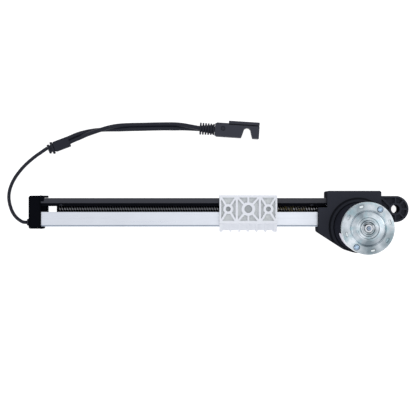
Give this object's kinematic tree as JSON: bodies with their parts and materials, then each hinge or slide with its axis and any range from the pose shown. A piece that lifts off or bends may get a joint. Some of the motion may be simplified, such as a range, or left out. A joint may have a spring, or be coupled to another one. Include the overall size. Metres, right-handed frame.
{
  "type": "linear actuator",
  "caption": "Rail linear actuator: a geared DC motor turns a lead screw in an aluminium rail and drives a ribbed carriage; a cable ends in a two-pole plug.",
  "frame": {"origin": "under the middle of the actuator without its cable, on the surface it lies on", "axes": "+X along the rail from end cap to gearbox, +Y away from the motor side, +Z along the motor axis, away from the surface"},
  "size_m": [0.5084, 0.167, 0.143],
  "materials": {
    "anodised_aluminium": "satin anodised",
    "slate_plastic": "moulded, fine grain",
    "black_plastic": "moulded, fine grain",
    "black_rubber": "smooth",
    "steel": "zinc plated",
    "dark_steel": "rolled and oiled",
    "zinc": "bright zinc plate",
    "bronze": "sintered",
    "copper": "enamelled",
    "ferrite": "sintered ferrite",
    "gear_nylon": "machined",
    "carbon": "pressed",
    "circuit_board": "lacquered",
    "white_nylon": "moulded, glass filled"
  },
  "bodies": {
    "frame": {"rail": "anodised_aluminium", "cover_strip": "slate_plastic", "gearbox_housing": "slate_plastic", "end_cap": "black_plastic", "screw_end_bush": "black_plastic", "gearbox_back_cover": "black_plastic", "motor_sleeve": "black_plastic", "cable_splitter": "black_plastic", "plug_body": "black_plastic", "cable_gland": "black_rubber", "duct_cable": "black_rubber", "plug_boot": "black_rubber", "cable": "black_rubber", "lead_1": "black_rubber", "lead_2": "black_rubber", "end_cap_screw_1": "steel", "end_cap_screw_2": "steel", "back_cover_screw_1": "steel", "back_cover_screw_2": "steel", "back_cover_screw_3": "steel", "back_cover_screw_4": "steel", "rail_screw_1": "steel", "rail_screw_2": "steel", "screw_bearing_front": "steel", "screw_bearing_rear": "steel", "motor_rear_bush": "steel", "motor_can": "zinc", "motor_end_cap": "zinc", "motor_bolt_1": "zinc", "motor_bolt_2": "zinc", "worm_tail_bush": "bronze", "motor_front_bush": "bronze", "magnet_1": "ferrite", "magnet_2": "ferrite", "limit_switch_retract": "carbon", "limit_switch_extend": "carbon", "brush_1": "carbon", "brush_2": "carbon", "brush_card": "circuit_board"},
    "rotor": {"motor_shaft": "steel", "worm": "steel", "armature": "copper", "commutator": "copper"},
    "screw": {"lead_screw": "dark_steel", "worm_wheel": "gear_nylon"},
    "slider": {"carriage": "white_nylon", "spindle_nut": "white_nylon"},
    "retract_lever": {"switch_lever_retract": "slate_plastic"},
    "extend_lever": {"switch_lever_extend": "slate_plastic"}
  },
  "joints": [
    {"name": "motor_spin", "type": "hinge", "parent": "frame", "child": "rotor", "pos_m": [0.17625, -0.0066, 0.09], "axis": [0, 0, 1], "range_deg": [-42600, 198600]},
    {"name": "screw_spin", "type": "hinge", "parent": "frame", "child": "screw", "pos_m": [-0.01065, 0.0159, 0.022], "axis": [1, 0, 0], "range_deg": [-1184.5, 5518.5]},
    {"name": "carriage_slide", "type": "slide", "parent": "frame", "child": "slider", "axis": [1, 0, 0], "range_m": [-0.1962, 0.0421]},
    {"name": "retract_switch_press", "type": "slide", "parent": "frame", "child": "retract_lever", "axis": [-1, 0, 0], "range_m": [0, 0.001], "stiffness_N_per_m": 300, "springref_m": -0.0005},
    {"name": "extend_switch_press", "type": "slide", "parent": "frame", "child": "extend_lever", "axis": [1, 0, 0], "range_m": [0, 0.001], "stiffness_N_per_m": 300, "springref_m": -0.0005}
  ],
  "couplings": [
    {"joint": "screw_spin", "follows": "motor_spin", "ratio": 0.027778},
    {"joint": "carriage_slide", "follows": "motor_spin", "m_per_rad": -0.000056588}
  ]
}
